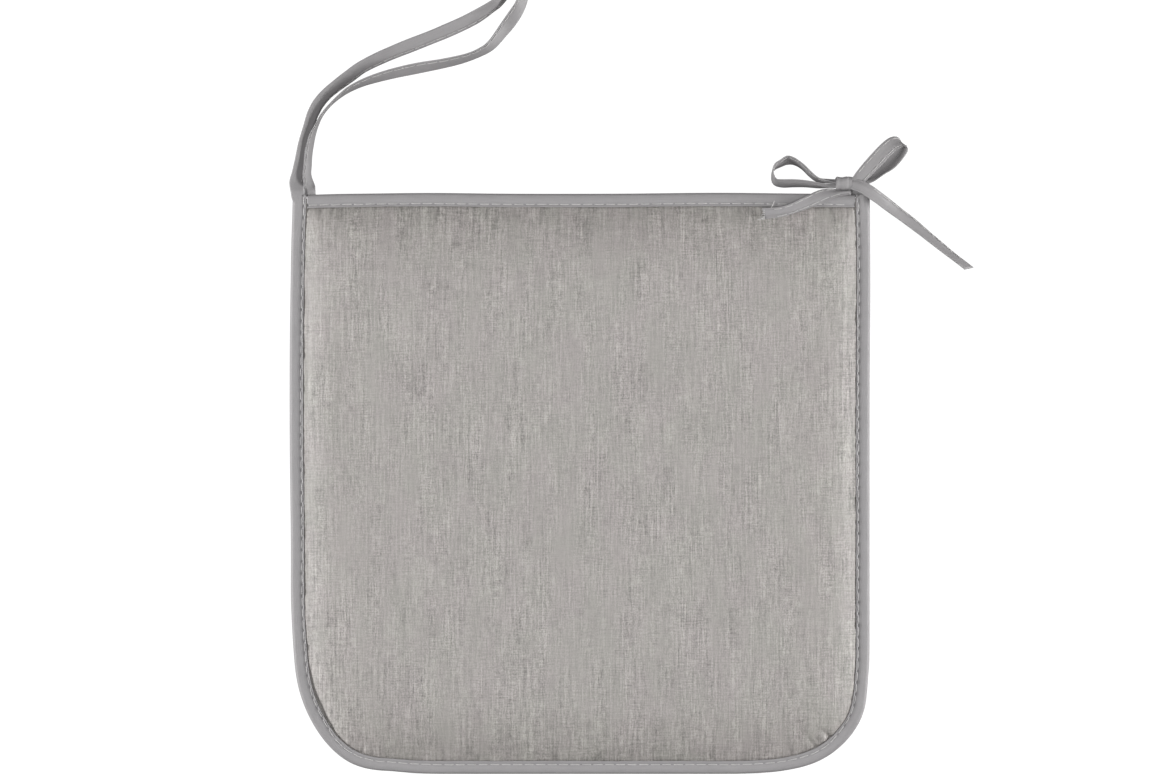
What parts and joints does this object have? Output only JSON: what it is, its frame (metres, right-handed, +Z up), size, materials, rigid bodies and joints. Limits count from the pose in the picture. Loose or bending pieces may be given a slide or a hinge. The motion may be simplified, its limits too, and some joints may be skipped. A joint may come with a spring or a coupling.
{
  "type": "chair seat pad",
  "caption": "Thin square foam seat pad with rounded front corners, tape-bound edges and tie tapes at the back, one pair tied in a bow.",
  "frame": {"origin": "on the floor under the middle of the pad, at the bottom centre of the pad's box without its ties", "axes": "+X to the pad's right, +Y to its back edge where the ties are, +Z up through its thickness"},
  "size_m": [0.4686, 0.5674, 0.02],
  "materials": {
    "cover_fabric": "melange linen-look plain weave, grey-taupe",
    "binding_tape": "fine woven cotton tape, neutral grey, matt",
    "sewing_thread": "spun polyester sewing thread, light grey",
    "foam": "open-cell polyurethane foam, pale cream"
  },
  "bodies": {
    "pad": {"top_cover": "cover_fabric", "bottom_cover": "cover_fabric", "foam_core": "foam", "perimeter_binding": "binding_tape", "back_edge_binding": "binding_tape", "perimeter_seam_needle_thread": "sewing_thread", "perimeter_seam_bobbin_thread": "sewing_thread", "back_seam_needle_thread": "sewing_thread", "back_seam_bobbin_thread": "sewing_thread", "bow_knot": "binding_tape", "right_outer_tie_root": "binding_tape", "right_inner_tie_root": "binding_tape"},
    "outer_tie": {"left_outer_tie": "binding_tape", "left_outer_tie_thread": "sewing_thread"},
    "inner_tie": {"left_inner_tie": "binding_tape", "left_inner_tie_thread": "sewing_thread"},
    "left_loop": {"bow_left_loop": "binding_tape", "bow_left_loop_thread": "sewing_thread"},
    "right_loop": {"bow_right_loop": "binding_tape", "bow_right_loop_thread": "sewing_thread"},
    "left_tail": {"bow_left_tail": "binding_tape", "bow_left_tail_thread": "sewing_thread"},
    "right_tail": {"bow_right_tail": "binding_tape", "bow_right_tail_thread": "sewing_thread"}
  },
  "joints": [
    {"name": "outer_tie_swing", "type": "hinge", "parent": "pad", "child": "outer_tie", "pos_m": [-0.19, 0.2013, 0.008], "axis": [1, 0, 0], "range_deg": [-90, 90]},
    {"name": "inner_tie_swing", "type": "hinge", "parent": "pad", "child": "inner_tie", "pos_m": [-0.19, 0.2013, 0.008], "axis": [1, 0, 0], "range_deg": [-90, 90]},
    {"name": "left_loop_swing", "type": "hinge", "parent": "pad", "child": "left_loop", "pos_m": [0.1739, 0.207, 0.008], "axis": [0, 1, 0], "range_deg": [-80, 100]},
    {"name": "right_loop_swing", "type": "hinge", "parent": "pad", "child": "right_loop", "pos_m": [0.1919, 0.2094, 0.0101], "axis": [0, -1, 0], "range_deg": [-70, 100]},
    {"name": "left_tail_lift", "type": "hinge", "parent": "pad", "child": "left_tail", "pos_m": [0.1863, 0.2005, 0.0114], "axis": [0, 1, 0], "range_deg": [0, 90]},
    {"name": "right_tail_lift", "type": "hinge", "parent": "pad", "child": "right_tail", "pos_m": [0.1895, 0.205, 0.0132], "axis": [0, -1, 0], "range_deg": [0, 90]}
  ]
}
